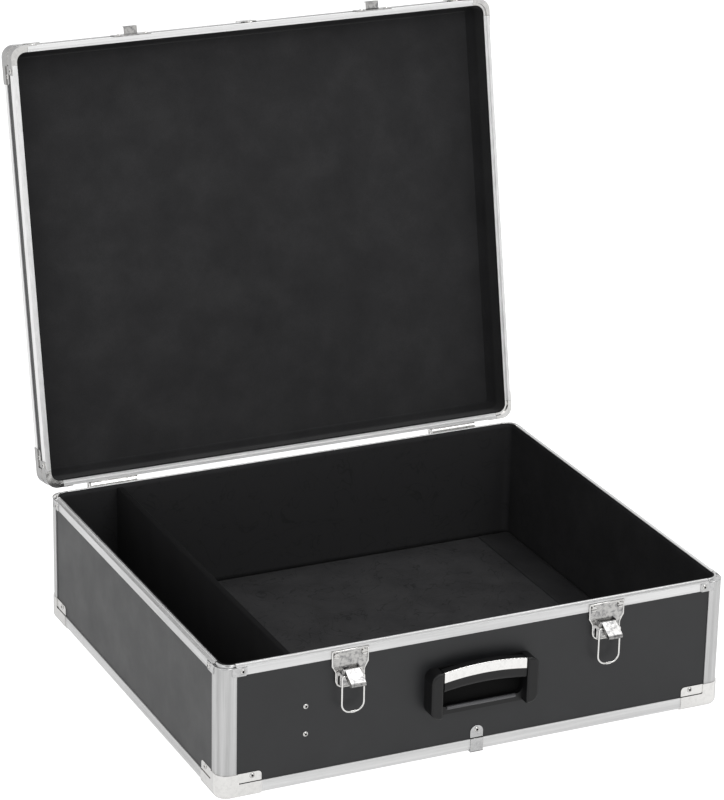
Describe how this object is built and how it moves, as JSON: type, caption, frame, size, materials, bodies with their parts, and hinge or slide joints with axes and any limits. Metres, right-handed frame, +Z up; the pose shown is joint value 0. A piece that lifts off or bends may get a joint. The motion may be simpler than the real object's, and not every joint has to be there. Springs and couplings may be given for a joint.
{
  "type": "flight case",
  "caption": "Low black case with an aluminium frame, hinged lid on stop hinges, two draw latches with wire bails, a folding handle, steel corner caps and a divider inside.",
  "frame": {"origin": "middle of the base's footprint, at the undersides of the corner caps", "axes": "+X to the right seen from the latches, +Y to the hinges at the rear, +Z up"},
  "size_m": [0.564, 0.6297, 0.6182],
  "materials": {
    "laminated_board": "black plastic laminate, satin",
    "lining_felt": "short-pile black felt",
    "frame_aluminium": "satin anodised",
    "plated_steel": "bright nickel plate",
    "handle_plastic": "fine-grained black",
    "painted_steel": "matt black"
  },
  "bodies": {
    "base": {"panel_front": "laminated_board", "panel_rear": "laminated_board", "panel_left": "laminated_board", "panel_right": "laminated_board", "bottom_rail_front": "frame_aluminium", "bottom_rail_rear": "frame_aluminium", "bottom_rail_left": "frame_aluminium", "bottom_rail_right": "frame_aluminium", "rim_rail_front": "frame_aluminium", "rim_rail_rear": "frame_aluminium", "rim_rail_left": "frame_aluminium", "rim_rail_right": "frame_aluminium", "corner_post_front_left": "frame_aluminium", "corner_post_front_right": "frame_aluminium", "corner_post_rear_left": "frame_aluminium", "corner_post_rear_right": "frame_aluminium", "bottom_cap_front_left": "plated_steel", "bottom_cap_front_right": "plated_steel", "bottom_cap_rear_left": "plated_steel", "bottom_cap_rear_right": "plated_steel", "bottom_board": "laminated_board", "floor_lining": "lining_felt", "wall_lining": "lining_felt", "divider": "laminated_board", "divider_angles": "painted_steel", "rim_corners": "plated_steel", "bottom_clips": "plated_steel", "base_rivets": "plated_steel", "latch_plate_left": "plated_steel", "latch_plate_right": "plated_steel", "latch_screws": "plated_steel", "lever_pins": "plated_steel", "handle_frame": "handle_plastic", "handle_pins": "plated_steel", "hinge_base_leaf_left": "plated_steel", "hinge_base_leaf_right": "plated_steel", "hinge_pins": "plated_steel"},
    "lid": {"lid_top_panel": "laminated_board", "lid_panel_front": "laminated_board", "lid_panel_rear": "laminated_board", "lid_panel_left": "laminated_board", "lid_panel_right": "laminated_board", "lid_lining": "lining_felt", "lid_edge_rails": "frame_aluminium", "lid_rim_rails": "frame_aluminium", "lid_corner_posts": "frame_aluminium", "lid_corner_caps": "plated_steel", "lid_rim_corners": "plated_steel", "lid_clips": "plated_steel", "lid_keeper_left": "plated_steel", "lid_keeper_right": "plated_steel", "hinge_lid_leaf_left": "plated_steel", "hinge_lid_leaf_right": "plated_steel", "lid_rivets": "plated_steel"},
    "lever_left": {"latch_lever_left": "plated_steel"},
    "lever_right": {"latch_lever_right": "plated_steel"},
    "bail_left": {"latch_bail_left": "plated_steel"},
    "bail_right": {"latch_bail_right": "plated_steel"},
    "handle": {"handle_grip": "handle_plastic", "handle_band": "plated_steel"}
  },
  "joints": [
    {"name": "lid_hinge", "type": "hinge", "parent": "base", "child": "lid", "pos_m": [0, 0.241, 0.14115], "axis": [1, 0, 0], "range_deg": [0, 101]},
    {"name": "handle_swing", "type": "hinge", "parent": "base", "child": "handle", "pos_m": [0, -0.247, 0.098], "axis": [-1, 0, 0], "range_deg": [0, 90]},
    {"name": "lever_left_swing", "type": "hinge", "parent": "base", "child": "lever_left", "pos_m": [-0.142, -0.2418, 0.118], "axis": [-1, 0, 0], "range_deg": [-4, 60]},
    {"name": "bail_left_swing", "type": "hinge", "parent": "lever_left", "child": "bail_left", "pos_m": [-0.142, -0.2456, 0.115], "axis": [-1, 0, 0], "range_deg": [-4, 115]},
    {"name": "lever_right_swing", "type": "hinge", "parent": "base", "child": "lever_right", "pos_m": [0.142, -0.2418, 0.118], "axis": [-1, 0, 0], "range_deg": [-4, 60]},
    {"name": "bail_right_swing", "type": "hinge", "parent": "lever_right", "child": "bail_right", "pos_m": [0.142, -0.2456, 0.115], "axis": [-1, 0, 0], "range_deg": [-4, 115]}
  ]
}
